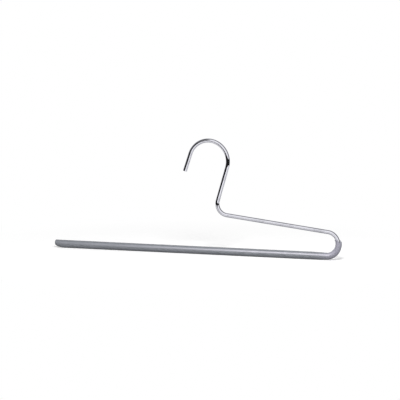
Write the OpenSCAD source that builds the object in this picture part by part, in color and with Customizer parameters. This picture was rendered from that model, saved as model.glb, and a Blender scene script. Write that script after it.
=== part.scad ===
// Open-ended trouser hanger: one bent steel rod and the soft grip sleeve on its bar.
// The hanger lies in the XZ plane. +Z is up, +X points to the closed end bend.
// The origin is the seat of the hook: the highest point of its inside, which rests on the rail.

/* [Overall] */
// Length from the nose of the sleeve to the outside of the end bend
hanger_l = 350; // [330:1:420]
// Diameter of the steel rod
rod_d = 5; // [4:0.1:5.6]

/* [Hook] */
// Inside diameter of the hook, which passes over the rail
hook_inner_d = 42; // [36:0.5:50]
// Angle that the hook turns through, from the neck to its free leg
hook_turn = 178; // [165:1:190]
// Straight leg at the free end of the hook
hook_leg_l = 21.5; // [8:0.5:26]
// Chamfer on the two cut ends of the rod
rod_chamfer = 0.3; // [0.1:0.1:0.8]

/* [Neck and arm] */
// Lean of the neck away from upright
neck_lean = 16.3; // [8:0.1:24]
// Straight length of the neck
neck_l = 40.5; // [34:0.5:60]
// Radius of the neck bend, to the middle of the rod
neck_bend_r = 13; // [9:0.5:18]
// Straight length of the arm
arm_l = 124.5; // [100:0.5:150]
// Slope of the arm up from the bar
arm_rise = 6.5; // [4:0.1:9]

/* [End bend] */
// Radius of the end bend, to the middle of the rod
end_bend_r = 14; // [12:0.5:20]

/* [Grip sleeve] */
// Outside diameter of the sleeve on the straight bar
sleeve_d = 9; // [8.4:0.1:10.5]
// Wall of the sleeve
sleeve_wall = 1.15; // [0.8:0.05:1.3]
// Gap between the rod and the sleeve where it is drawn tight, in the end bend
tight_gap = 0.05; // [0.02:0.01:0.15]
// Length of bar over which the sleeve starts to tighten, before the bend
tighten_lead = 20; // [12:1:40]
// Length of bend over which the sleeve ends tightening
tighten_run = 15; // [10:1:20]
// Height of the sleeve's mouth above the middle of the end bend
mouth_rise = 3.2; // [2:0.1:6]
// Slant of the mouth, which is lower on the outside of the bend, where the sleeve has farther to reach
mouth_slant = 22; // [0:1:25]
// How far the outside of the mouth springs back off the rod
mouth_spring = 0.4; // [0.1:0.05:0.7]

/* [Nose] */
// Length of the closed nose at the free end of the sleeve
nose_l = 13; // [9:0.5:20]
// Height of the blunt tip of the nose
nose_tip_d = 5; // [3.5:0.1:6]
// Rounding above the tip of the nose
nose_round = 1; // [0.5:0.1:1.5]
// Gap between the rod's hidden end and the end of the sleeve's bore
rod_end_gap = 1; // [0.5:0.1:4]

/* [Hidden] */

// Round shapes of the rod and the sleeve
$fn = 64;
// Sides of each ring in the tightening sleeve and the nose
ring_sides = 32;
// Rings along the tightening stretch, the end bend and the nose
lead_rings = 8;
bend_rings = 24;
nose_rings = 10;
// Spare length of a cutting tool past the face that it opens
overcut = 2;
// Where one stretch runs on into the next, it laps into it by this length and is thinner by this step
lap = 0.2;
step = 0.02;

rod_r = rod_d / 2;
sleeve_r = sleeve_d / 2;
bore_r = sleeve_r - sleeve_wall;

// Headings, in degrees from +X towards +Z, on the way from the bar to the hook
arm_heading = 180 - arm_rise;
neck_heading = 90 - neck_lean;

function ahead(heading) = [cos(heading), sin(heading)];
function right_of(heading) = [sin(heading), -cos(heading)];

// Corner points of the rod in [x, z], from the hook down to the bar
hook_r = (hook_inner_d + rod_d) / 2;
hook_c = [0, -hook_inner_d / 2];
neck_top = hook_c + hook_r * right_of(neck_heading);
neck_foot = neck_top - neck_l * ahead(neck_heading);
neck_bend_c = neck_foot + neck_bend_r * right_of(neck_heading);
arm_left = neck_bend_c - neck_bend_r * right_of(arm_heading);
arm_right = arm_left - arm_l * ahead(arm_heading);
end_bend_c = arm_right - end_bend_r * right_of(arm_heading);
bar_right = end_bend_c + end_bend_r * right_of(0);
bar_z = bar_right[1];

// Outside radius of the sleeve where it is drawn tight onto the rod
tight_r = rod_r + tight_gap + sleeve_wall;

// Places along the bar
nose_x = end_bend_c[0] + end_bend_r + tight_r - hanger_l;
tube_x = nose_x + nose_l;
tighten_x = bar_right[0] - tighten_lead;
rod_end_x = tube_x + rod_end_gap;

// The mouth, as a path length past the start of the end bend, and the end of the spare stretch above it
mouth_s = end_bend_r * (90 + asin(mouth_rise / end_bend_r)) * PI / 180;
spare_s = mouth_s + 1.5 * sleeve_r;

// Smooth step from 0 to 1
function ease(t) = let (u = min(1, max(0, t))) u * u * (3 - 2 * u);

// How far the sleeve is drawn onto the rod at path length s, from 0 to 1
function tighten(s) = ease((s + tighten_lead) / (tighten_lead + tighten_run));

// How far the outside of the sleeve has sprung off the rod at path length s
function spring_off(s) = mouth_spring * ease((s - mouth_s + sleeve_d) / sleeve_d);

// Middle of the rod and its heading at path length s past the start of the end bend
function path_heading(s) = max(0, s) / end_bend_r * 180 / PI;
function path_point(s) = end_bend_c + [min(0, s), 0] + end_bend_r * right_of(path_heading(s));

// Outside radius of the sleeve at path length s
function outer_r(s) = sleeve_r + (tight_r - sleeve_r) * tighten(s) + spring_off(s) / 2;

// A round ring of points around the point p, square to the heading
function ring(p, heading, radius) = [
    for (i = [0 : ring_sides - 1])
        let (
            turn = 360 * i / ring_sides,
            q = p + radius * cos(turn) * right_of(heading)
        )
        [q[0], radius * sin(turn), q[1]]
];

// The ring of the sleeve at path length s, taken in by a wall
function sleeve_ring(s, wall) = ring(
    path_point(s) + spring_off(s) / 2 * right_of(path_heading(s)),
    path_heading(s),
    outer_r(s) - wall
);

// Path lengths of the rings: evenly along the lead, then evenly round the bend to the end
function ring_places(start, end) = concat(
    [for (i = [0 : lead_rings - 1]) start * (1 - i / lead_rings)],
    [for (i = [0 : bend_rings]) end * i / bend_rings]
);

// Underside and top of the nose at distance d from the straight tube
nose_low = nose_tip_d - sleeve_r + nose_round;
nose_reach = nose_l / sqrt(1 - pow(nose_low / sleeve_r, 2));
function nose_under(d) = -sleeve_r * sqrt(1 - pow(d / nose_reach, 2));
function nose_top(d) =
    let (u = max(0, (d - nose_l + nose_round) / nose_round))
    sleeve_r - nose_round * (1 - sqrt(max(0, 1 - u * u)));
function nose_ring(d) =
    let (
        top = nose_top(d),
        under = nose_under(d)
    )
    ring([tube_x - d, bar_z + (top + under) / 2], 0, (top - under) / 2 - step);

// A closed solid through a list of rings that all have the same number of points
module loft(rings) {
    sides = len(rings[0]);
    last = len(rings) - 1;
    points = [for (ring = rings) each ring];
    first_cap = [for (i = [0 : sides - 1]) i];
    last_cap = [for (i = [sides - 1 : -1 : 0]) last * sides + i];
    walls = [
        for (j = [0 : last - 1], i = [0 : sides - 1])
            let (k = (i + 1) % sides)
            [j * sides + i, (j + 1) * sides + i, (j + 1) * sides + k, j * sides + k]
    ];
    polyhedron(points = points, faces = concat([first_cap, last_cap], walls));
}

// Places its children at p, with their +Z along the heading and their +X on its right-hand side
module stand_at(p, heading) {
    translate([p[0], 0, p[1]]) rotate([0, 90 - heading, 0]) children();
}

// A straight stretch of the rod along +Z. Its children stand at its far end.
module straight(length) {
    cylinder(h = length, r = rod_r);
    translate([0, 0, length]) children();
}

// A bend of the rod that starts along +Z and turns to the left (side = 1) or right (side = -1).
// The rod draws in a little as it bends, so the bend starts and ends inside the straight stretches.
module bent(bend_r, turn, side) {
    lap_turn = lap / bend_r * 180 / PI;
    rotate([0, 0, side > 0 ? 0 : 180])
        translate([-bend_r, 0, 0]) rotate([90, 0, 0])
        rotate_extrude(start = -lap_turn, angle = turn + 2 * lap_turn)
        translate([bend_r, 0]) circle(r = rod_r - step);
    translate([-side * bend_r, 0, 0]) rotate([0, -side * turn, 0])
        translate([side * bend_r, 0, 0]) children();
}

// A cut end of the rod, with its edge broken
module cut_end() {
    cylinder(h = rod_chamfer, r1 = rod_r, r2 = rod_r - rod_chamfer);
}

// Core of the bar, end bend, arm, neck bend, neck, hook and leg, in the order in which one rod is bent
module hook_rod() {
    core_l = bar_right[0] - rod_end_x - rod_chamfer;
    color([0.82, 0.82, 0.86]) union() {
        stand_at([rod_end_x + rod_chamfer, bar_z], 180) cut_end();
        stand_at([rod_end_x + rod_chamfer, bar_z], 0)
            straight(core_l)
            bent(end_bend_r, arm_heading, 1)
            straight(arm_l)
            bent(neck_bend_r, arm_heading - neck_heading, -1)
            straight(neck_l)
            bent(hook_r, hook_turn, 1)
            straight(hook_leg_l - rod_chamfer)
            cut_end();
    }
}

// Outside of the sleeve: the closed nose, the wide tube and the tightening stretch round the end bend
module sleeve_body() {
    nose_places = [for (i = [nose_rings : -1 : 1]) nose_l * sin(90 * i / nose_rings)];
    loft([for (d = concat(nose_places, [-lap])) nose_ring(d)]);
    stand_at([tube_x, bar_z], 0) cylinder(h = tighten_x - tube_x, r = sleeve_r);
    loft([for (s = ring_places(-tighten_lead - lap, spare_s)) sleeve_ring(s, step)]);
}

// Bore of the sleeve, from behind the nose to past the mouth
module sleeve_bore() {
    stand_at([tube_x, bar_z], 0) cylinder(h = tighten_x - tube_x, r = bore_r);
    loft([for (s = ring_places(-tighten_lead - lap, spare_s + overcut)) sleeve_ring(s, sleeve_wall + step)]);
}

// The block that trims the sleeve at its mouth, along a cut that is lower on the outside of the bend
module mouth_cut() {
    block = 4 * end_bend_r;
    translate([end_bend_c[0] + end_bend_r, 0, end_bend_c[1] + mouth_rise])
        rotate([0, mouth_slant, 0])
        translate([-block / 2, -block / 2, 0])
        cube([block, block, block]);
}

// Soft grip sleeve, pushed over the bar and round the end bend
module grip_sleeve() {
    color([0.55, 0.57, 0.61]) difference() {
        sleeve_body();
        sleeve_bore();
        mouth_cut();
    }
}

hook_rod();
grip_sleeve();
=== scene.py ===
"""Looks of the open-ended trouser hanger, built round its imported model.

The hanger is one chromed steel rod, bent into bar, end bend, arm, neck and hook, and one soft grip
sleeve that is pushed over the bar and round the end bend. Everything is in metres in the frame of the
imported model: the hanger lies in the XZ plane, +Z is up, +X points to the end bend, and the origin is
the seat of the hook. In every view it stands on the underside of its bar.
"""

import logging
import math
from dataclasses import dataclass
from enum import Enum

import bmesh
import bpy
import numpy as np
from mathutils import Matrix, Vector


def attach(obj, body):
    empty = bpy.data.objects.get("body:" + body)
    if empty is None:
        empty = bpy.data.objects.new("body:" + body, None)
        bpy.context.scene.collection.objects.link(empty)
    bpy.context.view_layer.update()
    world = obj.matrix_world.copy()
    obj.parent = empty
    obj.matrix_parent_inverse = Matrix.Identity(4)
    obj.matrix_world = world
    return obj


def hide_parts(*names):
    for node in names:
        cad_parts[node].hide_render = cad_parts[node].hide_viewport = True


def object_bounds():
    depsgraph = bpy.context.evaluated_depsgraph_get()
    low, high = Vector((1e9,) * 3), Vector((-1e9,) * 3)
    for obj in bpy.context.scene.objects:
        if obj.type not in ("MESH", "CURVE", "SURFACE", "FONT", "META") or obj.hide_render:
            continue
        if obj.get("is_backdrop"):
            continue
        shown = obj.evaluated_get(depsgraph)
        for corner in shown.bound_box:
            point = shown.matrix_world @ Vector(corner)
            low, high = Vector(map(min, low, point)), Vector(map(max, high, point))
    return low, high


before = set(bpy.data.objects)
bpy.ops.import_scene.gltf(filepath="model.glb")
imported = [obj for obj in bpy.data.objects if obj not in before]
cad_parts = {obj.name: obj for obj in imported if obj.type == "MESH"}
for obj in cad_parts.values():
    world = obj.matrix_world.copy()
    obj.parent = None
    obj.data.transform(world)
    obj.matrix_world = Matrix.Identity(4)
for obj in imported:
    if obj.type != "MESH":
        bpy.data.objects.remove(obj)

MM = 0.001
LOG = logging.getLogger("trouser_hanger")

# Name of the attribute that holds each vertex's place on the straightened rod
UNBENT = "unbent"

# Faces that meet at more than this angle keep a sharp edge between them
SHARP_ANGLE = math.radians(40)


def linear(colour: str) -> tuple[float, float, float, float]:
    """Turns an sRGB hex colour into linear red, green, blue and alpha.

    Args:
        colour: The colour as six hex digits, such as "C8CAD2".

    Returns:
        The linear colour, with an alpha of 1.
    """
    channels = [int(colour[i : i + 2], 16) / 255 for i in (0, 2, 4)]
    red, green, blue = (
        c / 12.92 if c <= 0.04045 else ((c + 0.055) / 1.055) ** 2.4 for c in channels
    )
    return red, green, blue, 1.0


def ease(t: float) -> float:
    """Gives the smooth step from 0 to 1 at t."""
    u = min(1.0, max(0.0, t))
    return u * u * (3 - 2 * u)


def feed(node: bpy.types.Node, inputs: dict) -> None:
    """Sets or links a node's inputs.

    Args:
        node: The node.
        inputs: What goes in, by the input's name or number: a value, a socket to link from, or a node
            whose first open output is linked.
    """
    for key, value in inputs.items():
        if isinstance(value, bpy.types.Node):
            value = next(socket for socket in value.outputs if socket.enabled)
        if isinstance(value, bpy.types.NodeSocket):
            node.id_data.links.new(value, node.inputs[key])
        else:
            node.inputs[key].default_value = value


def add_node(
    tree: bpy.types.NodeTree,
    kind: str,
    inputs: dict | None = None,
    **settings: object,
) -> bpy.types.Node:
    """Adds a node to a node tree.

    Args:
        tree: The node tree.
        kind: The node's type name.
        inputs: What goes into its inputs, as feed takes it.
        **settings: The node's own properties.

    Returns:
        The new node.
    """
    node = tree.nodes.new(kind)
    for name, value in settings.items():
        setattr(node, name, value)
    feed(node, inputs or {})
    return node


def start_material(name: str) -> tuple[bpy.types.Material, bpy.types.Node]:
    """Starts a material.

    Args:
        name: The material's name.

    Returns:
        The material and its shader node.
    """
    material = bpy.data.materials.new(name)
    material.use_nodes = True
    return material, material.node_tree.nodes["Principled BSDF"]


def round_edges(bm: bmesh.types.BMesh, edges: list[bmesh.types.BMEdge], radius: float) -> None:
    """Rounds sharp edges.

    Args:
        bm: The mesh.
        edges: The edges.
        radius: How far the rounding reaches from each edge.
    """
    bmesh.ops.bevel(
        bm,
        geom=edges,
        offset=radius,
        offset_type="OFFSET",
        segments=3,
        profile=0.5,
        affect="EDGES",
        material=-1,
    )


@dataclass(frozen=True)
class HangerSizes:
    """Driving sizes of the hanger, the same as in its model."""

    length: float = 350 * MM
    rod_r: float = 2.5 * MM
    hook_inner_r: float = 21 * MM
    hook_turn: float = math.radians(178)
    hook_leg: float = 21.5 * MM
    chamfer: float = 0.3 * MM
    neck_lean: float = math.radians(16.3)
    neck: float = 40.5 * MM
    neck_bend_r: float = 13 * MM
    arm: float = 124.5 * MM
    arm_rise: float = math.radians(6.5)
    end_bend_r: float = 14 * MM
    sleeve_r: float = 4.5 * MM
    wall: float = 1.15 * MM
    tight_gap: float = 0.05 * MM
    tighten_lead: float = 20 * MM
    tighten_run: float = 15 * MM
    mouth_rise: float = 3.2 * MM
    mouth_slant: float = math.radians(22)
    mouth_spring: float = 0.4 * MM
    nose: float = 13 * MM
    nose_tip: float = 5 * MM
    nose_round: float = 1 * MM
    rod_end_gap: float = 1 * MM

    @property
    def tight_r(self) -> float:
        """Outside radius of the sleeve in the end bend, where it is drawn tight onto the rod."""
        return self.rod_r + self.tight_gap + self.wall

    @property
    def bar(self) -> float:
        """Length of the straight bar inside the sleeve, from the hidden end of the rod."""
        return self.length - self.end_bend_r - self.tight_r - self.nose - self.rod_end_gap


@dataclass(frozen=True)
class Place:
    """A point on the rod's middle line and the heading of the line there, from +X towards +Z."""

    point: Vector
    heading: float

    @property
    def ahead(self) -> Vector:
        """Unit vector along the line."""
        return Vector((math.cos(self.heading), 0, math.sin(self.heading)))

    @property
    def right(self) -> Vector:
        """Unit vector to the right of the line, in the hanger's plane."""
        return Vector((math.sin(self.heading), 0, -math.cos(self.heading)))

    def ring(self, across: float, through: float, shift: float = 0.0) -> Matrix:
        """Gives the matrix that lays a unit circle square to the line.

        Args:
            across: Half width of the ring in the hanger's plane.
            through: Half width of the ring through the hanger's plane.
            shift: How far the ring's middle lies to the right of the line.

        Returns:
            The matrix from the unit circle in XY to the ring.
        """
        middle = self.point + shift * self.right
        columns = (self.right * across, Vector((0, through, 0)), self.ahead, middle)
        matrix = Matrix.Identity(4)
        for number, column in enumerate(columns):
            for row in range(3):
                matrix[row][number] = column[row]
        return matrix


@dataclass(frozen=True)
class Stretch:
    """A straight or evenly bent stretch of the rod's middle line."""

    name: str
    start: Place
    length: float
    radius: float = math.inf
    side: int = 1

    @property
    def centre(self) -> Vector:
        """Centre of the bend, to the left of the line for side 1 and to the right for side -1."""
        return self.start.point - self.side * self.radius * self.start.right

    def place(self, along: float) -> Place:
        """Gives a place on the stretch.

        Args:
            along: The length from its start, which may also lie before the start or past the end.

        Returns:
            The place.
        """
        if math.isinf(self.radius):
            return Place(self.start.point + along * self.start.ahead, self.start.heading)
        heading = self.start.heading + self.side * along / self.radius
        turned = Place(self.centre, heading)
        return Place(self.centre + self.side * self.radius * turned.right, heading)

    def unbend(self, points: np.ndarray) -> np.ndarray:
        """Finds points' places on the straightened stretch.

        Args:
            points: The points, one a row.

        Returns:
            How far each lies to the right of the line and through the hanger, and its nearest length
            along the stretch.
        """
        right = np.array(self.start.right)
        ahead = np.array(self.start.ahead)
        if math.isinf(self.radius):
            out = points - np.array(self.start.point)
            along = np.clip(out @ ahead, 0.0, self.length)
            return np.column_stack((out @ right, points[:, 1], along))
        out = points - np.array(self.centre)
        sideways = self.side * (out @ right)
        turn = np.arctan2(out @ ahead, sideways)
        slack = (math.tau - self.length / self.radius) / 2
        turn = np.where(turn > -slack, turn, turn + math.tau)
        along = np.clip(turn * self.radius, 0.0, self.length)
        shift = self.side * (np.hypot(out[:, 0], out[:, 2]) - self.radius)
        return np.column_stack((shift, points[:, 1], along))

    def points_at(self, along: np.ndarray) -> np.ndarray:
        """Gives points of the middle line.

        Args:
            along: Their lengths along the stretch.

        Returns:
            The points, one a row.
        """
        right = np.array(self.start.right)
        ahead = np.array(self.start.ahead)
        if math.isinf(self.radius):
            return np.array(self.start.point) + along[:, None] * ahead
        turn = (along / self.radius)[:, None]
        spoke = self.side * right * np.cos(turn) + ahead * np.sin(turn)
        return np.array(self.centre) + self.radius * spoke


class RodLine:
    """The rod's middle line, from its hidden end in the sleeve to its free end at the hook."""

    def __init__(self, sizes: HangerSizes) -> None:
        """Lays the stretches end to end, then moves them so that the hook's seat is the origin.

        Args:
            sizes: The hanger's driving sizes.
        """
        arm_heading = math.pi - sizes.arm_rise
        neck_heading = math.pi / 2 - sizes.neck_lean
        hook_r = sizes.hook_inner_r + sizes.rod_r
        end_bend = sizes.end_bend_r * arm_heading
        neck_bend = sizes.neck_bend_r * (arm_heading - neck_heading)
        hook = hook_r * sizes.hook_turn
        runs = (
            ("bar", sizes.bar, math.inf, 1),
            ("end bend", end_bend, sizes.end_bend_r, 1),
            ("arm", sizes.arm, math.inf, 1),
            ("neck bend", neck_bend, sizes.neck_bend_r, -1),
            ("neck", sizes.neck, math.inf, 1),
            ("hook", hook, hook_r, 1),
            ("leg", sizes.hook_leg, math.inf, 1),
        )
        laid = self._lay(runs, Place(Vector((0, 0, 0)), 0.0))
        hook_centre = next(s.centre for s in laid if s.name == "hook")
        start = Vector((0, 0, -sizes.hook_inner_r)) - hook_centre
        self.stretches = self._lay(runs, Place(start, 0.0))
        self.length = sum(s.length for s in self.stretches)

    @staticmethod
    def _lay(runs: tuple, start: Place) -> list[Stretch]:
        """Lays stretches end to end.

        Args:
            runs: Name, length, radius and side of each stretch, in order.
            start: Where the first one starts.

        Returns:
            The stretches.
        """
        laid = []
        for name, length, radius, side in runs:
            laid.append(Stretch(name, start, length, radius, side))
            start = laid[-1].place(length)
        return laid

    def stretch(self, name: str) -> Stretch:
        """Gives the stretch of that name."""
        return next(s for s in self.stretches if s.name == name)

    def unbend(self, points: np.ndarray) -> np.ndarray:
        """Finds points' places on the straightened rod.

        Args:
            points: Points near the rod, one a row.

        Returns:
            How far each lies to the right of the line and through the hanger, and its length along.
        """
        before = 0.0
        found = np.zeros_like(points)
        closest = np.full(len(points), math.inf)
        for stretch in self.stretches:
            local = stretch.unbend(points)
            distance = np.linalg.norm(points - stretch.points_at(local[:, 2]), axis=1)
            local[:, 2] += before
            nearer = distance < closest
            found[nearer] = local[nearer]
            closest[nearer] = distance[nearer]
            before += stretch.length
        return found


class RingTube:
    """A tube that grows out of one ring, ring by ring, by extruding its open edge."""

    def __init__(self, bm: bmesh.types.BMesh, sides: int, first: Matrix, capped: bool) -> None:
        """Makes the first ring.

        Args:
            bm: The mesh that the tube is made in.
            sides: Number of sides.
            first: Matrix from the unit circle to the first ring.
            capped: Whether the first ring is closed with a face.
        """
        self.bm = bm
        made = bmesh.ops.create_circle(
            bm, cap_ends=capped, segments=sides, radius=1.0, matrix=first
        )
        self.edges = list({edge for vert in made["verts"] for edge in vert.link_edges})
        self.at = first

    def grow(self, ring: Matrix) -> None:
        """Extrudes the open edge to a new ring.

        Args:
            ring: Matrix from the unit circle to the new ring.
        """
        made = bmesh.ops.extrude_edge_only(self.bm, edges=self.edges)["geom"]
        verts = [part for part in made if isinstance(part, bmesh.types.BMVert)]
        self.edges = [part for part in made if isinstance(part, bmesh.types.BMEdge)]
        bmesh.ops.transform(self.bm, matrix=ring @ self.at.inverted(), verts=verts)
        self.at = ring

    def close(self) -> list[bmesh.types.BMFace]:
        """Closes the open edge with a face and returns it in a list."""
        return bmesh.ops.contextual_create(self.bm, geom=self.edges)["faces"]


def steps(start: float, end: float, count: int) -> list[float]:
    """Gives count even steps from start, which is left out, to end."""
    return [start + (end - start) * i / count for i in range(1, count + 1)]


@dataclass(frozen=True)
class ChromePlate:
    """Bright chrome plating on a drawn and bent steel rod.

    Plating gives a mirror with a cool cast. Drawing leaves faint lines along the rod under it, and the
    plating bath leaves a slight ripple, which makes the edges of the reflections waver a little.
    Handling dulls it in soft patches, and the rail scuffs it at the seat of the hook.
    """

    name: str = "chrome_plated_drawn_steel"
    colour: str = "E6E6EE"
    haze_colour: str = "D2D2DA"
    roughness: float = 0.045
    haze_roughness: float = 0.10
    scuff_roughness: float = 0.26
    line_width: float = 0.25 * MM
    line_stretch: float = 0.012
    line_depth: float = 0.004 * MM
    ripple_size: float = 5 * MM
    ripple_depth: float = 0.012 * MM
    # The handling patches, and between which values of their noise the plating goes dull
    patch_size: float = 14 * MM
    patch_range: tuple[float, float] = (0.45, 0.72)
    # The scuff at the seat of the hook is full within this share of its reach. Its scratches run round
    # the rod, so their pattern is stretched that way.
    scuff_reach: float = 11 * MM
    scuff_core: float = 0.15
    scuff_width: float = 0.3 * MM
    scuff_stretch: float = 0.15

    def make(self) -> bpy.types.Material:
        """Builds the material.

        Returns:
            The material.
        """
        material, shader = start_material(self.name)
        tree = material.node_tree
        along = add_node(tree, "ShaderNodeAttribute", attribute_name=UNBENT).outputs["Vector"]
        place = add_node(tree, "ShaderNodeTexCoord").outputs["Object"]

        # Soft dull patches from handling
        patches = add_node(
            tree,
            "ShaderNodeTexNoise",
            {"Vector": along, "Scale": 1 / self.patch_size, "Detail": 4.0, "Roughness": 0.6},
        )
        dull = add_node(
            tree,
            "ShaderNodeMapRange",
            {"Value": patches, "From Min": self.patch_range[0], "From Max": self.patch_range[1]},
            interpolation_type="SMOOTHSTEP",
        )
        hazy = add_node(
            tree,
            "ShaderNodeMapRange",
            {"Value": dull, "To Min": self.roughness, "To Max": self.haze_roughness},
        )
        colour = add_node(
            tree,
            "ShaderNodeMix",
            {"Factor": dull, "A": linear(self.colour), "B": linear(self.haze_colour)},
            data_type="RGBA",
        )

        # The scuffed seat of the hook, round the origin
        reach = add_node(tree, "ShaderNodeVectorMath", {0: place}, operation="LENGTH")
        core = self.scuff_core * self.scuff_reach
        seat = add_node(
            tree,
            "ShaderNodeMapRange",
            {"Value": reach, "From Min": self.scuff_reach, "From Max": core},
            interpolation_type="SMOOTHSTEP",
        )
        round_rod = (self.scuff_stretch, self.scuff_stretch, 1.0)
        turned = add_node(tree, "ShaderNodeVectorMath", {0: along, 1: round_rod}, operation="MULTIPLY")
        scratches = add_node(
            tree, "ShaderNodeTexNoise", {"Vector": turned, "Scale": 1 / self.scuff_width, "Detail": 3.0}
        )
        scuff = add_node(tree, "ShaderNodeMath", {0: seat, 1: scratches}, operation="MULTIPLY")
        rough = add_node(
            tree, "ShaderNodeMath", {0: scuff, 1: self.scuff_roughness, 2: hazy}, operation="MULTIPLY_ADD"
        )

        # Drawing lines, finer than a pixel of the render and drawn here at about twice their width
        along_rod = (1.0, 1.0, self.line_stretch)
        drawn = add_node(tree, "ShaderNodeVectorMath", {0: along, 1: along_rod}, operation="MULTIPLY")
        lines = add_node(
            tree, "ShaderNodeTexNoise", {"Vector": drawn, "Scale": 1 / self.line_width, "Detail": 2.0}
        )
        ripple = add_node(
            tree, "ShaderNodeTexNoise", {"Vector": along, "Scale": 1 / self.ripple_size, "Detail": 1.0}
        )
        rippled = add_node(
            tree, "ShaderNodeBump", {"Height": ripple, "Distance": self.ripple_depth, "Strength": 1.0}
        )
        lined = add_node(
            tree,
            "ShaderNodeBump",
            {"Height": lines, "Distance": self.line_depth, "Strength": 1.0, "Normal": rippled},
        )
        feed(shader, {"Metallic": 1.0, "Roughness": rough, "Base Color": colour, "Normal": lined})
        return material


@dataclass(frozen=True)
class SawnEnd:
    """The rod's sawn end face under its plating.

    The saw leaves fine parallel grooves, so the mirror of the plating breaks up into a soft satin, and
    the plating is thinner and a little darker there.
    """

    name: str = "chrome_plated_sawn_end"
    colour: str = "B9BAC2"
    groove_colour: str = "8E8F97"
    roughness: float = 0.30
    groove: float = 0.22 * MM
    groove_depth: float = 0.02 * MM
    # How the pattern is stretched: the grooves run in the hanger's plane, one beside the other through it
    groove_run: tuple[float, float, float] = (0.2, 1.0, 0.05)

    def make(self) -> bpy.types.Material:
        """Builds the material.

        Returns:
            The material.
        """
        material, shader = start_material(self.name)
        tree = material.node_tree
        place = add_node(tree, "ShaderNodeTexCoord").outputs["Object"]
        sawn = add_node(tree, "ShaderNodeVectorMath", {0: place, 1: self.groove_run}, operation="MULTIPLY")
        grooves = add_node(
            tree, "ShaderNodeTexNoise", {"Vector": sawn, "Scale": 1 / self.groove, "Detail": 2.0}
        )
        colour = add_node(
            tree,
            "ShaderNodeMix",
            {"Factor": grooves, "A": linear(self.colour), "B": linear(self.groove_colour)},
            data_type="RGBA",
        )
        bump = add_node(tree, "ShaderNodeBump", {"Height": grooves, "Distance": self.groove_depth})
        feed(shader, {"Metallic": 1.0, "Roughness": self.roughness, "Base Color": colour, "Normal": bump})
        return material


@dataclass(frozen=True)
class SoftVinyl:
    """Soft PVC, extruded as a tube.

    Extruding leaves faint streaks along the tube over a fine matt grain, the colour is a little
    uneven, and the soft surface gives a broad, weak gloss. From the end bend on the colour is paler,
    partly where the stretched vinyl whitens and partly as painted light for the brighter light there.
    """

    # Length along the rod at which the end bend starts, and how far off it the colour changes over
    bend_start: float
    name: str = "extruded_soft_pvc"
    colour: str = "7E8187"
    deep_colour: str = "75787E"
    # The paler colour is partly stretch whitening and partly painted light on the bend
    stretched_and_lit_colour: str = "94939F"
    bend_fade: float = 18 * MM
    # The roughness, and how much smoother and rougher it gets between two values of the mottling
    roughness: float = 0.42
    smoother: float = 0.05
    rougher: float = 0.07
    rough_range: tuple[float, float] = (0.3, 0.7)
    streak_width: float = 0.6 * MM
    streak_stretch: float = 0.02
    streak_depth: float = 0.02 * MM
    grain: float = 0.35 * MM
    grain_depth: float = 0.02 * MM
    bump_strength: float = 0.6
    # Size of the mottling, and between which values of streaks times mottling the colour changes over
    mottle: float = 7 * MM
    tone_range: tuple[float, float] = (0.12, 0.42)

    def make(self) -> bpy.types.Material:
        """Builds the material.

        Returns:
            The material.
        """
        material, shader = start_material(self.name)
        tree = material.node_tree
        along = add_node(tree, "ShaderNodeAttribute", attribute_name=UNBENT).outputs["Vector"]

        # Streaks along the tube, mottling and grain
        along_tube = (1.0, 1.0, self.streak_stretch)
        drawn = add_node(tree, "ShaderNodeVectorMath", {0: along, 1: along_tube}, operation="MULTIPLY")
        streaks = add_node(
            tree, "ShaderNodeTexNoise", {"Vector": drawn, "Scale": 1 / self.streak_width, "Detail": 3.0}
        )
        mottling = add_node(
            tree,
            "ShaderNodeTexNoise",
            {"Vector": along, "Scale": 1 / self.mottle, "Detail": 5.0, "Roughness": 0.65},
        )
        grain = add_node(
            tree, "ShaderNodeTexNoise", {"Vector": along, "Scale": 1 / self.grain, "Detail": 2.0}
        )

        # Uneven colour, paler from the end bend on, partly from stretching and partly as painted light
        uneven = add_node(tree, "ShaderNodeMath", {0: streaks, 1: mottling}, operation="MULTIPLY")
        tone = add_node(
            tree,
            "ShaderNodeMapRange",
            {"Value": uneven, "From Min": self.tone_range[0], "From Max": self.tone_range[1]},
            interpolation_type="SMOOTHSTEP",
        )
        plain = add_node(
            tree,
            "ShaderNodeMix",
            {"Factor": tone, "A": linear(self.deep_colour), "B": linear(self.colour)},
            data_type="RGBA",
        )
        pulled_and_lit = add_node(
            tree,
            "ShaderNodeMapRange",
            {
                "Value": add_node(tree, "ShaderNodeSeparateXYZ", {"Vector": along}).outputs["Z"],
                "From Min": self.bend_start - self.bend_fade,
                "From Max": self.bend_start + self.bend_fade,
            },
            interpolation_type="SMOOTHSTEP",
        )
        colour = add_node(
            tree,
            "ShaderNodeMix",
            {"Factor": pulled_and_lit, "A": plain, "B": linear(self.stretched_and_lit_colour)},
            data_type="RGBA",
        )
        rough = add_node(
            tree,
            "ShaderNodeMapRange",
            {
                "Value": mottling,
                "From Min": self.rough_range[0],
                "From Max": self.rough_range[1],
                "To Min": self.roughness - self.smoother,
                "To Max": self.roughness + self.rougher,
            },
        )
        strength = self.bump_strength
        streaked = add_node(
            tree,
            "ShaderNodeBump",
            {"Height": streaks, "Distance": self.streak_depth, "Strength": strength},
        )
        grained = add_node(
            tree,
            "ShaderNodeBump",
            {"Height": grain, "Distance": self.grain_depth, "Strength": strength, "Normal": streaked},
        )
        feed(shader, {"Roughness": rough, "Base Color": colour, "Normal": grained})
        return material


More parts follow.
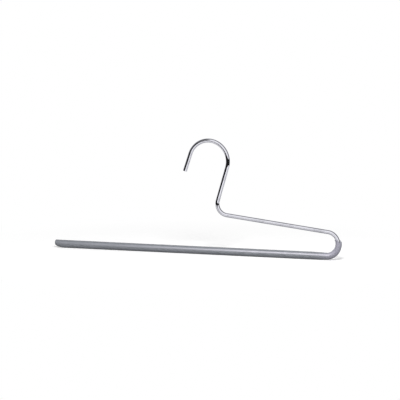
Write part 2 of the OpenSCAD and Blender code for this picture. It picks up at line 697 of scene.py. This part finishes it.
@dataclass(frozen=True)
class CutVinyl:
    """The sleeve's knife-cut rim, in the same soft PVC.

    It has no extruded skin, so it is paler and rougher, with fine marks of the blade.
    """

    name: str = "knife_cut_soft_pvc"
    colour: str = "9C9CA6"
    dark_colour: str = "7F808A"
    roughness: float = 0.62
    blade_mark: float = 0.3 * MM
    mark_depth: float = 0.02 * MM

    def make(self) -> bpy.types.Material:
        """Builds the material.

        Returns:
            The material.
        """
        material, shader = start_material(self.name)
        tree = material.node_tree
        place = add_node(tree, "ShaderNodeTexCoord").outputs["Object"]
        marks = add_node(
            tree, "ShaderNodeTexNoise", {"Vector": place, "Scale": 1 / self.blade_mark, "Detail": 3.0}
        )
        colour = add_node(
            tree,
            "ShaderNodeMix",
            {"Factor": marks, "A": linear(self.dark_colour), "B": linear(self.colour)},
            data_type="RGBA",
        )
        bump = add_node(tree, "ShaderNodeBump", {"Height": marks, "Distance": self.mark_depth})
        feed(shader, {"Roughness": self.roughness, "Base Color": colour, "Normal": bump})
        return material


class Piece(Enum):
    """The hanger's pieces, each with the node that it stands for and its material slot."""

    ROD = ("chromed_rod", "hook_rod", "chrome_rod")
    SLEEVE = ("soft_sleeve", "grip_sleeve", "grip_sleeve")

    def __init__(self, label: str, node: str, slot: str) -> None:
        """Keeps the piece's names.

        Args:
            label: Name of the piece.
            node: Name of the node that it stands for.
            slot: Name of its material slot; not used.
        """
        self.label = label
        self.node = node
        self.slot = slot


def finish_piece(
    bm: bmesh.types.BMesh, piece: Piece, line: RodLine, materials: list[bpy.types.Material]
) -> bpy.types.Object:
    """Turns a finished bmesh into an object that rides on the hanger's body.

    Args:
        bm: The closed mesh, which is freed.
        piece: Which of the hanger's pieces it is.
        line: The rod's middle line, for each vertex's place on the straightened rod.
        materials: The materials, in the order of the faces' material numbers.

    Returns:
        The object.
    """
    bmesh.ops.recalc_face_normals(bm, faces=bm.faces)
    unbent = line.unbend(np.array([vert.co[:] for vert in bm.verts]))
    layer = bm.verts.layers.float_vector.new(UNBENT)
    for vert, place in zip(bm.verts, unbent):
        vert[layer] = place
    for face in bm.faces:
        face.smooth = True
    mesh = bpy.data.meshes.new(piece.label)
    bm.to_mesh(mesh)
    bm.free()
    mesh.set_sharp_from_angle(angle=SHARP_ANGLE)
    for material in materials:
        mesh.materials.append(material)
    obj = bpy.data.objects.new(piece.label, mesh)
    bpy.context.scene.collection.objects.link(obj)
    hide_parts(piece.node)
    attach(obj, "root")
    LOG.info("%s: %d faces", piece.label, len(mesh.polygons))
    return obj


@dataclass
class HookRod:
    """The one bent and plated steel rod: hidden bar core, end bend, arm, neck, hook and leg."""

    sizes: HangerSizes
    line: RodLine
    sides: int = 56
    bend_step: float = math.radians(2.5)
    straight_step: float = 8 * MM
    # A cold bend leaves the rod a little flatter across it, by this share of its radius over the bend's
    flattening: float = 0.12
    edge_round: float = 0.08 * MM

    def _ring(self, stretch: Stretch, along: float, radius: float) -> Matrix:
        """Gives a ring of the rod, flattened a little in the middle of a bend.

        Args:
            stretch: The stretch that it lies in.
            along: The length along the stretch.
            radius: The radius before the flattening.

        Returns:
            The matrix from the unit circle to the ring.
        """
        settle = min(along, stretch.length - along) / (2 * self.sizes.rod_r)
        flat = self.flattening * self.sizes.rod_r / stretch.radius * ease(settle)
        return stretch.place(along).ring(radius * (1 - flat / 2), radius * (1 + flat / 2))

    def build(self) -> bpy.types.Object:
        """Sweeps the rod along its middle line, between two sawn and chamfered ends.

        Returns:
            The rod's object.
        """
        rod_r = self.sizes.rod_r
        chamfer = self.sizes.chamfer
        bm = bmesh.new()
        first = self.line.stretches[0]
        tube = RingTube(bm, self.sides, self._ring(first, 0, rod_r - chamfer), capped=True)
        ends = list(bm.faces)
        tube.grow(self._ring(first, chamfer, rod_r))
        for stretch in self.line.stretches:
            step = self.straight_step
            if not math.isinf(stretch.radius):
                step = self.bend_step * stretch.radius
            start = chamfer if stretch is first else 0.0
            end = stretch.length - (chamfer if stretch is self.line.stretches[-1] else 0.0)
            for along in steps(start, end, math.ceil((end - start) / step)):
                tube.grow(self._ring(stretch, along, rod_r))
        last = self.line.stretches[-1]
        tube.grow(self._ring(last, last.length, rod_r - chamfer))
        ends += tube.close()
        for face in ends:
            face.material_index = 1
        round_edges(bm, [edge for face in ends for edge in face.edges], self.edge_round)
        return finish_piece(bm, Piece.ROD, self.line, [ChromePlate().make(), SawnEnd().make()])


@dataclass
class GripSleeve:
    """The soft sleeve: closed nose, wide tube on the bar and tight tube round the end bend."""

    sizes: HangerSizes
    line: RodLine
    sides: int = 64
    nose_rings: int = 18
    tube_step: float = 6 * MM
    lead_rings: int = 16
    bend_rings: int = 72
    # How far the sweep runs past the mouth before it is trimmed, by the sleeve's radius
    spare: float = 1.5
    # Rounding of the nose's blunt tip, and the dimple in its middle where the tube was sealed. The
    # dimple's rings are given from the middle out, as shares of its radius and of its depth.
    tip_round: float = 0.5 * MM
    dimple_r: float = 1.1 * MM
    dimple_depth: float = 0.35 * MM
    dimple_rings: tuple[tuple[float, float], ...] = ((0.2, 1.0), (0.5, 0.85), (0.8, 0.35), (1.0, 0.0))
    # How far the extruded tube's outside falls short, and the ripples in that: the share of each, how
    # many fit in the wave's length, and the turn at which it starts
    wave: float = 0.04 * MM
    wave_length: float = 47 * MM
    ripples: tuple[tuple[float, float, float], ...] = ((0.3, 1.0, 0.0), (0.2, 2.7, 1.0))
    # The soft buckle on the inside of the end bend, and the finer folds round it, which spread wider
    # than the buckle by the factor given
    buckle_turn: float = math.radians(42)
    buckle_spread: float = math.radians(24)
    buckle_height: float = 0.5 * MM
    fold_height: float = 0.07 * MM
    fold_pitch: float = 2.4 * MM
    fold_spread: float = 1.6
    # Near its mouth the sleeve is squeezed thin inside the bend and stretched thin outside it, where it
    # stands off the rod. The front and the back of the mouth are drawn up past its two corners, and the
    # front falls off sooner towards the outer corner, by this factor.
    mouth_run: float = 7 * MM
    squeeze: float = 0.45 * MM
    stretch: float = 0.75 * MM
    crown: float = 2.6 * MM
    front_fall: float = 1.5
    rim_round: float = 0.15 * MM

    @property
    def bend(self) -> Stretch:
        """The end bend."""
        return self.line.stretch("end bend")

    @property
    def mouth_s(self) -> float:
        """Length from the start of the end bend to the mouth."""
        turn = math.pi / 2 + math.asin(self.sizes.mouth_rise / self.sizes.end_bend_r)
        return self.sizes.end_bend_r * turn

    def _place(self, s: float) -> Place:
        """Gives a place on the sleeve's middle line.

        Args:
            s: The length past the start of the end bend, or less than 0 along the bar before it.

        Returns:
            The place.
        """
        if s < 0:
            return self.line.stretch("bar").place(self.sizes.bar + s)
        return self.bend.place(s)

    def _near_mouth(self, s: float, run: float) -> float:
        """Gives the smooth step from 0, a run before the mouth, to 1 at the mouth."""
        return ease((s - self.mouth_s + run) / run)

    def _wave(self, s: float) -> float:
        """Tells how far the extruded tube's radius falls short at length s, at most 1.5 waves."""
        turn = math.tau * s / self.wave_length
        return self.wave * sum((share * math.sin(n * turn + at) for share, n, at in self.ripples), 1.0)

    def _ring(self, s: float, bore: bool) -> Matrix:
        """Gives a ring of the sleeve's outside or of its bore. The bore has no waves.

        Args:
            s: The length past the start of the end bend.
            bore: Whether it is a ring of the bore.

        Returns:
            The matrix from the unit circle to the ring.
        """
        sizes = self.sizes
        tight = ease((s + sizes.tighten_lead) / (sizes.tighten_lead + sizes.tighten_run))
        taken_in = sizes.wall if bore else self._wave(s)
        radius = sizes.sleeve_r + (sizes.tight_r - sizes.sleeve_r) * tight - taken_in
        near = self._near_mouth(s, self.mouth_run)
        spring = sizes.mouth_spring * self._near_mouth(s, 2 * sizes.sleeve_r)
        inner = radius - (0.0 if bore else self.squeeze) * near
        outer = radius + spring + (self.stretch if bore else 0.0) * near
        across = (inner + outer) / 2
        return self._place(s).ring(across, across, outer - across)

    def _nose_ring(self, d: float) -> Matrix:
        """Gives a ring of the nose.

        The underside rises in an ellipse to the blunt tip, and the top stays level to its rounding.

        Args:
            d: The distance from the straight tube.

        Returns:
            The matrix from the unit circle to the ring.
        """
        sizes = self.sizes
        low = sizes.nose_tip - sizes.sleeve_r + sizes.nose_round
        reach = sizes.nose / math.sqrt(1 - (low / sizes.sleeve_r) ** 2)
        under = -sizes.sleeve_r * math.sqrt(1 - (d / reach) ** 2)
        rounding = max(0.0, (d - sizes.nose + sizes.nose_round) / sizes.nose_round)
        top = sizes.sleeve_r - sizes.nose_round * (1 - math.sqrt(max(0.0, 1 - rounding**2)))
        edge = max(0.0, (d - sizes.nose + self.tip_round) / self.tip_round)
        edge_in = self.tip_round * (1 - math.sqrt(max(0.0, 1 - edge**2)))
        radius = (top - under) / 2 - edge_in
        return self._tip_ring(d, radius, (top + under) / 2)

    def _tip_ring(self, d: float, radius: float, rise: float) -> Matrix:
        """Gives a round ring at distance d from the straight tube, its middle raised off the bar's."""
        start = self.sizes.rod_end_gap + self.sizes.bar
        return self._place(-start - d).ring(radius, radius, -rise)

    def _tube_places(self, start: float) -> list[float]:
        """Gives the places of the rings from the nose to past the mouth.

        Args:
            start: The length at which the first ring already stands.

        Returns:
            The lengths past the start of the end bend.
        """
        lead = -self.sizes.tighten_lead
        spare = self.mouth_s + self.spare * self.sizes.sleeve_r
        count = math.ceil((lead - start) / self.tube_step)
        return (
            steps(start, lead, count)
            + steps(lead, 0.0, self.lead_rings)
            + steps(0.0, spare, self.bend_rings)
        )

    def _skin(self, bm: bmesh.types.BMesh) -> None:
        """Sweeps the outside of the sleeve, from the dimple in the nose to past the mouth.

        Args:
            bm: The mesh that it is made in.
        """
        nose = self.sizes.nose
        tip = self._nose_ring(nose)
        rise = (tip.translation - self.line.stretches[0].start.point).z
        rings = [
            self._tip_ring(nose - depth * self.dimple_depth, share * self.dimple_r, rise)
            for share, depth in self.dimple_rings
        ]
        for i in range(self.nose_rings + 1):
            rings.append(self._nose_ring(nose * math.cos(math.pi / 2 * i / self.nose_rings)))
        tube = RingTube(bm, self.sides, rings[0], capped=True)
        for ring in rings[1:]:
            tube.grow(ring)
        for s in self._tube_places(-self.sizes.rod_end_gap - self.sizes.bar):
            tube.grow(self._ring(s, bore=False))

    def _bore(self, bm: bmesh.types.BMesh) -> None:
        """Sweeps the inside of the sleeve, from behind the nose to past the mouth.

        Args:
            bm: The mesh that it is made in.
        """
        start = -self.sizes.rod_end_gap - self.sizes.bar
        skin = set(bm.faces)
        tube = RingTube(bm, self.sides, self._ring(start, bore=True), capped=True)
        for s in self._tube_places(start):
            tube.grow(self._ring(s, bore=True))
        # The bore's faces take the third material, whose dark colour is painted shade
        for face in set(bm.faces) - skin:
            face.material_index = 2

    def _cut_mouth(self, bm: bmesh.types.BMesh) -> None:
        """Trims the sleeve at its slanting mouth and closes the cut with a rounded rim.

        Args:
            bm: The sleeve's mesh.
        """
        sizes = self.sizes
        middle = self.bend.centre + Vector((sizes.end_bend_r, 0, sizes.mouth_rise))
        upward = Vector((math.sin(sizes.mouth_slant), 0, math.cos(sizes.mouth_slant)))
        cut = bmesh.ops.bisect_plane(
            bm,
            geom=bm.verts[:] + bm.edges[:] + bm.faces[:],
            plane_co=middle,
            plane_no=upward,
            clear_outer=True,
        )["geom_cut"]
        loops = [part for part in cut if isinstance(part, bmesh.types.BMEdge)]
        rim = bmesh.ops.bridge_loops(bm, edges=loops)["faces"]
        for face in rim:
            face.material_index = 1
        round_edges(bm, loops, self.rim_round)

    def _crown_mouth(self, bm: bmesh.types.BMesh) -> None:
        """Draws the front and the back of the mouth up along the rod, past its two corners.

        Args:
            bm: The sleeve's mesh.
        """
        bore_r = self.sizes.tight_r - self.sizes.wall
        places = self.line.unbend(np.array([vert.co[:] for vert in bm.verts])).tolist()
        for vert, (right, through, along) in zip(bm.verts, places):
            s = along - self.sizes.bar
            near = self._near_mouth(s, self.mouth_run)
            if near == 0.0:
                continue
            reach = math.hypot(right, through)
            sideways = right / reach
            crown = self.crown * (1 - sideways**2)
            if through < 0 < sideways:
                crown *= 1 - min(1.0, self.front_fall * sideways)
            place = self._place(s + crown * near)
            # The rim's rounding dips into the bore by a hair, so it is set back off the rod
            off_rod = max(1.0, bore_r / reach)
            vert.co = place.point + off_rod * (right * place.right + Vector((0, through, 0)))

    def _fold(self, bm: bmesh.types.BMesh) -> None:
        """Raises the soft buckle and the finer folds on the inside of the end bend.

        Args:
            bm: The sleeve's mesh.
        """
        places = self.line.unbend(np.array([vert.co[:] for vert in bm.verts])).tolist()
        for vert, (right, _, along) in zip(bm.verts, places):
            s = along - self.sizes.bar
            if right > 0 or s < -self.sizes.tighten_lead:
                continue
            turn = s / self.sizes.end_bend_r
            inner = ease(-right / self.sizes.tight_r)
            off = (turn - self.buckle_turn) / self.buckle_spread
            buckle = self.buckle_height * math.exp(-(off**2))
            near = math.exp(-((turn - self.buckle_turn) / (self.fold_spread * self.buckle_spread)) ** 2)
            fold = self.fold_height * near * math.cos(math.tau * s / self.fold_pitch)
            inward = -self._place(s).right
            vert.co += inner * (buckle + fold) * inward

    def build(self) -> bpy.types.Object:
        """Builds the sleeve as one closed solid with its bore.

        Returns:
            The sleeve's object.
        """
        bm = bmesh.new()
        self._skin(bm)
        self._bore(bm)
        self._cut_mouth(bm)
        self._crown_mouth(bm)
        self._fold(bm)
        vinyl = SoftVinyl(self.sizes.bar)
        # The bore is coloured dark as painted shade, for the shadowed gap that shows at the mouth
        bore = SoftVinyl(
            self.sizes.bar,
            name="painted_shade_soft_pvc_bore",
            colour="34353C",
            deep_colour="2A2B31",
            stretched_and_lit_colour="34353C",
        )
        materials = [vinyl.make(), CutVinyl().make(), bore.make()]
        return finish_piece(bm, Piece.SLEEVE, self.line, materials)


@dataclass(frozen=True)
class Viewpoint:
    """The photograph's view: from slightly right of square and slightly above, through a very long lens."""

    yaw: float = math.radians(20)
    elevation: float = math.radians(7.3)
    distance: float = 17.0
    # Width that the picture covers at the hanger, and the point of its plane in the picture's middle
    frame_width: float = 459.9 * MM
    target: tuple[float, float, float] = (-10.6 * MM, 0.0, -66.9 * MM)
    sensor: float = 36.0
    # How far the camera sees, in metres
    sight: float = 20.0

    @property
    def back(self) -> Vector:
        """Unit vector from the hanger to the camera."""
        level = math.cos(self.elevation)
        return Vector(
            (math.sin(self.yaw) * level, -math.cos(self.yaw) * level, math.sin(self.elevation))
        )

    def build(self) -> bpy.types.Object:
        """Adds the camera and makes it the scene's own.

        Returns:
            The camera.
        """
        camera = bpy.data.cameras.new("view_camera")
        camera.sensor_width = self.sensor
        camera.lens = self.sensor * self.distance / self.frame_width
        camera.clip_end = self.sight
        obj = bpy.data.objects.new("view_camera", camera)
        bpy.context.scene.collection.objects.link(obj)
        obj.location = Vector(self.target) + self.distance * self.back
        obj.rotation_euler = self.back.to_track_quat("Z", "Y").to_euler()
        bpy.context.scene.camera = obj
        return obj


@dataclass(frozen=True)
class Edge:
    """A soft edge in the room, measured on directions along one way, from dark to light."""

    way: tuple[float, float, float]
    dark: float
    light: float


@dataclass(frozen=True)
class Softbox:
    """A square soft lamp that faces the hanger.

    Its place is given from the hanger's middle, as right, front and up of the view, in metres. Size is
    the length of its sides in metres and power is in watts.
    """

    name: str
    place: tuple[float, float, float]
    size: float
    power: float
    colour: str = "FFFFFF"

    def hang(self, view: Viewpoint) -> bpy.types.Object:
        """Adds the lamp to the scene.

        Args:
            view: The view that its place is given in.

        Returns:
            The lamp.
        """
        right = Vector((math.cos(view.yaw), math.sin(view.yaw), 0))
        front = Vector((math.sin(view.yaw), -math.cos(view.yaw), 0))
        lamp = bpy.data.lights.new(self.name, "AREA")
        lamp.size = self.size
        lamp.energy = self.power
        lamp.color = linear(self.colour)[:3]
        obj = bpy.data.objects.new(self.name, lamp)
        bpy.context.scene.collection.objects.link(obj)
        offset = self.place[0] * right + self.place[1] * front + Vector((0, 0, self.place[2]))
        obj.location = Vector(view.target) + offset
        obj.rotation_euler = offset.to_track_quat("Z", "Y").to_euler()
        return obj


@dataclass
class Studio:
    """A plain pale floor, a white background, and soft light that also mirrors in the chrome."""

    view: Viewpoint
    floor_z: float
    floor_r: float = 0.33
    floor_colour: str = "F2F2F2"
    # What mirrors in the chrome is greyer in a strip along the hanger, as painted shade under and
    # beside it: its colour, and how far off it fades out
    shade_strip_colour: str = "C0C0C0"
    shade_strip_fade: tuple[float, float] = (0.035, 0.09)
    # How bright the lamps and the room make a pure white floor, where nothing shades it
    floor_light: float = 0.88
    floor_fade: tuple[float, float] = (0.14, 0.32)
    # Edges in the room: the way that each is measured along, and the direction's parts along that way
    # where it starts and where it is full. The last way points straight behind the hanger in the view.
    horizon: Edge = Edge((0, 0, 1), 0.0, 0.07)
    panel_left: Edge = Edge((1, 0, -0.2), -0.48, -0.38)
    panel_back: Edge = Edge((0, 1, 0), -0.08, -0.33)
    behind: Edge = Edge((-0.339, 0.932, -0.127), 0.35, 0.62)
    panel_light: float = 1.0
    room_light: float = 0.13
    dark_light: float = 0.015
    # The key lights everything, and only the sleeve gets the gloss and the low fill from behind
    key: Softbox = Softbox("key_softbox", (0.05, 1.0, 0.85), 0.35, 13.5)
    gloss: Softbox = Softbox("gloss_softbox", (-0.17, 0.38, 0.29), 0.2, 7.5, "FAF5FF")
    fill: Softbox = Softbox("fill_softbox", (0.3, -1.2, 0.25), 0.6, 9.0)

    def _floor(self) -> None:
        """Lays the floor disc that the hanger stands on."""
        bm = bmesh.new()
        bmesh.ops.create_circle(
            bm,
            cap_ends=True,
            segments=96,
            radius=self.floor_r,
            matrix=Matrix.Translation((self.view.target[0], 0, self.floor_z)),
        )
        mesh = bpy.data.meshes.new("studio_floor")
        bm.to_mesh(mesh)
        bm.free()
        mesh.materials.append(self._floor_material())
        floor = bpy.data.objects.new("studio_floor", mesh)
        bpy.context.scene.collection.objects.link(floor)
        floor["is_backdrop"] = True

    def _floor_material(self) -> bpy.types.Material:
        """Makes the matt pale floor, which fades into the white background away from the hanger.

        The camera sees the floor lifted by what it lacks to be as white as the background, so only
        the hanger's shadow shows.

        Returns:
            The material.
        """
        material = bpy.data.materials.new("matt_painted_floor")
        material.use_nodes = True
        tree = material.node_tree
        tree.nodes.clear()
        place = add_node(tree, "ShaderNodeTexCoord").outputs["Object"]
        seen = add_node(tree, "ShaderNodeLightPath").outputs["Is Camera Ray"]

        # Where the camera sees the floor fade out
        middle = (-self.view.target[0], 0.0, -self.floor_z)
        offset = add_node(tree, "ShaderNodeVectorMath", {0: place, 1: middle}, operation="ADD")
        reach = add_node(tree, "ShaderNodeVectorMath", {0: offset}, operation="LENGTH")
        fade = add_node(
            tree,
            "ShaderNodeMapRange",
            {"Value": reach, "From Min": self.floor_fade[0], "From Max": self.floor_fade[1]},
            interpolation_type="SMOOTHSTEP",
        )
        away = add_node(tree, "ShaderNodeMath", {0: fade, 1: seen}, operation="MULTIPLY")

        # The grey strip along the hanger is painted shade, which only the chrome and the light see
        through = add_node(tree, "ShaderNodeSeparateXYZ", {"Vector": place}).outputs["Y"]
        off = add_node(tree, "ShaderNodeMath", {0: through}, operation="ABSOLUTE")
        clear = add_node(
            tree,
            "ShaderNodeMapRange",
            {"Value": off, "From Min": self.shade_strip_fade[0], "From Max": self.shade_strip_fade[1]},
            interpolation_type="SMOOTHSTEP",
        )
        plain = add_node(tree, "ShaderNodeMath", {0: clear, 1: seen}, operation="MAXIMUM")
        colour = add_node(
            tree,
            "ShaderNodeMix",
            {"Factor": plain, "A": linear(self.shade_strip_colour), "B": linear(self.floor_colour)},
            data_type="RGBA",
        )

        # The matt floor with the glow that lifts it
        lit = (-self.floor_light, -self.floor_light, -self.floor_light)
        lacking = add_node(
            tree,
            "ShaderNodeVectorMath",
            {0: colour, 1: lit, 2: (1.0, 1.0, 1.0)},
            operation="MULTIPLY_ADD",
        )
        matt = add_node(tree, "ShaderNodeBsdfDiffuse", {"Color": colour})
        glow = add_node(tree, "ShaderNodeEmission", {"Color": lacking, "Strength": seen})
        near = add_node(tree, "ShaderNodeAddShader", {0: matt, 1: glow})
        white = add_node(tree, "ShaderNodeEmission", {"Strength": 1.0})
        surface = add_node(tree, "ShaderNodeMixShader", {0: away, 1: near, 2: white})
        add_node(tree, "ShaderNodeOutputMaterial", {"Surface": surface})
        return material

    def _world(self) -> None:
        """Makes the room that lights the hanger and mirrors in its chrome.

        One large pale panel curves from the front and the right towards the top, and the white
        background shows straight behind. The left side, the back and the low horizon in front stay
        dark. The camera sees plain white instead.
        """
        world = bpy.data.worlds.new("studio_room")
        world.use_nodes = True
        bpy.context.scene.world = world
        tree = world.node_tree
        tree.nodes.clear()
        way = add_node(tree, "ShaderNodeTexCoord").outputs["Generated"]

        def lit(edge: Edge) -> bpy.types.Node:
            """Adds a ramp from 0 to 1 over a soft edge.

            Args:
                edge: The edge.

            Returns:
                The ramp's node.
            """
            part = add_node(tree, "ShaderNodeVectorMath", {0: way, 1: edge.way}, operation="DOT_PRODUCT")
            return add_node(
                tree,
                "ShaderNodeMapRange",
                {"Value": part, "From Min": edge.dark, "From Max": edge.light},
                interpolation_type="SMOOTHSTEP",
            )

        def joined(one: bpy.types.Node, other: bpy.types.Node) -> bpy.types.Node:
            """Gives a node that is 1 where both parts are lit."""
            return add_node(tree, "ShaderNodeMath", {0: one, 1: other}, operation="MULTIPLY")

        def blend(part: object, dark: object, light: float) -> bpy.types.Node:
            """Gives a node with the strength that goes from dark to light over a lit part."""
            return add_node(tree, "ShaderNodeMix", {"Factor": part, "A": dark, "B": light})

        above = lit(self.horizon)
        panel = joined(joined(above, lit(self.panel_left)), lit(self.panel_back))
        light = blend(above, self.dark_light, self.room_light)
        light = blend(panel, light, self.panel_light)
        light = blend(lit(self.behind), light, 1.0)
        seen = add_node(tree, "ShaderNodeLightPath").outputs["Is Camera Ray"]
        glow = add_node(
            tree, "ShaderNodeBackground", {"Color": linear("FFFFFF"), "Strength": blend(seen, light, 1.0)}
        )
        add_node(tree, "ShaderNodeOutputWorld", {"Surface": glow})

    def build(self) -> None:
        """Builds the floor, the room and the soft key lamp."""
        self._floor()
        self._world()
        self.key.hang(self.view).visible_glossy = False

    def light_alone(self, receiver: bpy.types.Object) -> None:
        """Hangs the lamps that light one matt piece and keep out of the chrome.

        Args:
            receiver: The piece that they light.
        """
        receivers = bpy.data.collections.new("lit_alone")
        receivers.objects.link(receiver)
        gloss = self.gloss.hang(self.view)
        gloss.visible_diffuse = False
        fill = self.fill.hang(self.view)
        fill.visible_glossy = False
        for lamp in (gloss, fill):
            lamp.light_linking.receiver_collection = receivers


def main() -> None:
    """Builds the camera, the studio and the hanger's two pieces, in that order."""
    logging.basicConfig(level=logging.INFO)
    bpy.context.scene.view_settings.view_transform = "Standard"
    cad_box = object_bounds()
    view = Viewpoint()
    view.build()
    studio = Studio(view, floor_z=cad_box[0].z)
    studio.build()
    sizes = HangerSizes()
    line = RodLine(sizes)
    HookRod(sizes, line).build()
    sleeve = GripSleeve(sizes, line).build()
    studio.light_alone(sleeve)


if __name__ == "__main__":
    main()
